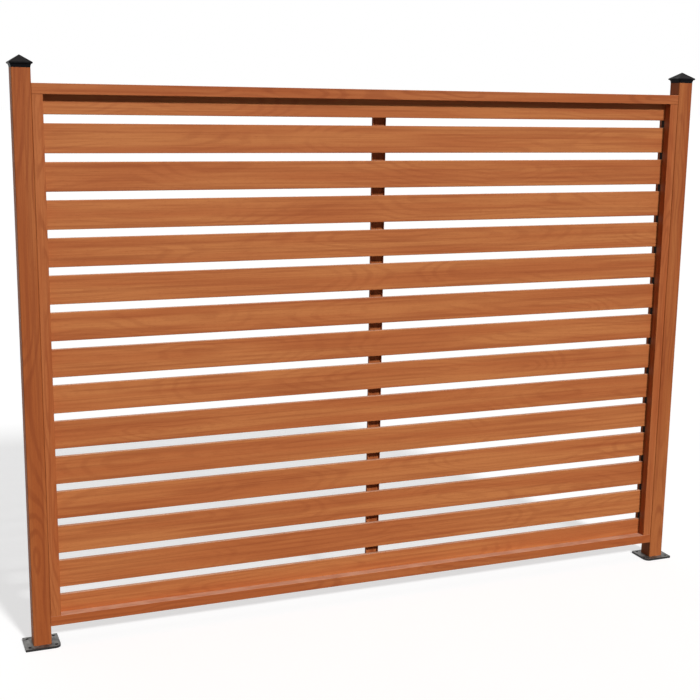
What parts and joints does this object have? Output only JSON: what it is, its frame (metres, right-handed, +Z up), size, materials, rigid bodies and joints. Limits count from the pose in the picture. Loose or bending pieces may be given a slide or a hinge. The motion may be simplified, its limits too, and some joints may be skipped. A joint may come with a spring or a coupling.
{
  "type": "garden privacy screen",
  "caption": "Fixed garden privacy screen: wide wood-grain slats in a rail and channel frame between square posts with pyramid caps and floor plates.",
  "frame": {"origin": "on the ground, under the middle of the screen, midway between the two posts and on their centre line", "axes": "+X along the screen to the right seen from the front, +Y from the front to the back, +Z up"},
  "size_m": [2.5952, 0.104, 1.9558],
  "materials": {
    "wood_grain_extrusion": "satin",
    "black_cap": "satin",
    "grey_steel": "matte",
    "black_plastic": "matte"
  },
  "bodies": {
    "root": {"left_post": "wood_grain_extrusion", "left_post_cap": "black_cap", "left_base_plate": "grey_steel", "left_post_sleeve": "grey_steel", "left_side_channel": "wood_grain_extrusion", "right_post": "wood_grain_extrusion", "right_post_cap": "black_cap", "right_base_plate": "grey_steel", "right_post_sleeve": "grey_steel", "right_side_channel": "wood_grain_extrusion", "top_rail": "wood_grain_extrusion", "bottom_rail": "wood_grain_extrusion", "centre_brace": "wood_grain_extrusion", "slat_01": "wood_grain_extrusion", "slat_02": "wood_grain_extrusion", "slat_03": "wood_grain_extrusion", "slat_04": "wood_grain_extrusion", "slat_05": "wood_grain_extrusion", "slat_06": "wood_grain_extrusion", "slat_07": "wood_grain_extrusion", "slat_08": "wood_grain_extrusion", "slat_09": "wood_grain_extrusion", "slat_10": "wood_grain_extrusion", "slat_11": "wood_grain_extrusion", "slat_12": "wood_grain_extrusion", "slat_13": "wood_grain_extrusion", "slat_14": "wood_grain_extrusion", "slat_15": "wood_grain_extrusion", "left_spacer_01": "black_plastic", "left_spacer_02": "black_plastic", "left_spacer_03": "black_plastic", "left_spacer_04": "black_plastic", "left_spacer_05": "black_plastic", "left_spacer_06": "black_plastic", "left_spacer_07": "black_plastic", "left_spacer_08": "black_plastic", "left_spacer_09": "black_plastic", "left_spacer_10": "black_plastic", "left_spacer_11": "black_plastic", "left_spacer_12": "black_plastic", "left_spacer_13": "black_plastic", "left_spacer_14": "black_plastic", "right_spacer_01": "black_plastic", "right_spacer_02": "black_plastic", "right_spacer_03": "black_plastic", "right_spacer_04": "black_plastic", "right_spacer_05": "black_plastic", "right_spacer_06": "black_plastic", "right_spacer_07": "black_plastic", "right_spacer_08": "black_plastic", "right_spacer_09": "black_plastic", "right_spacer_10": "black_plastic", "right_spacer_11": "black_plastic", "right_spacer_12": "black_plastic", "right_spacer_13": "black_plastic", "right_spacer_14": "black_plastic"}
  },
  "joints": []
}
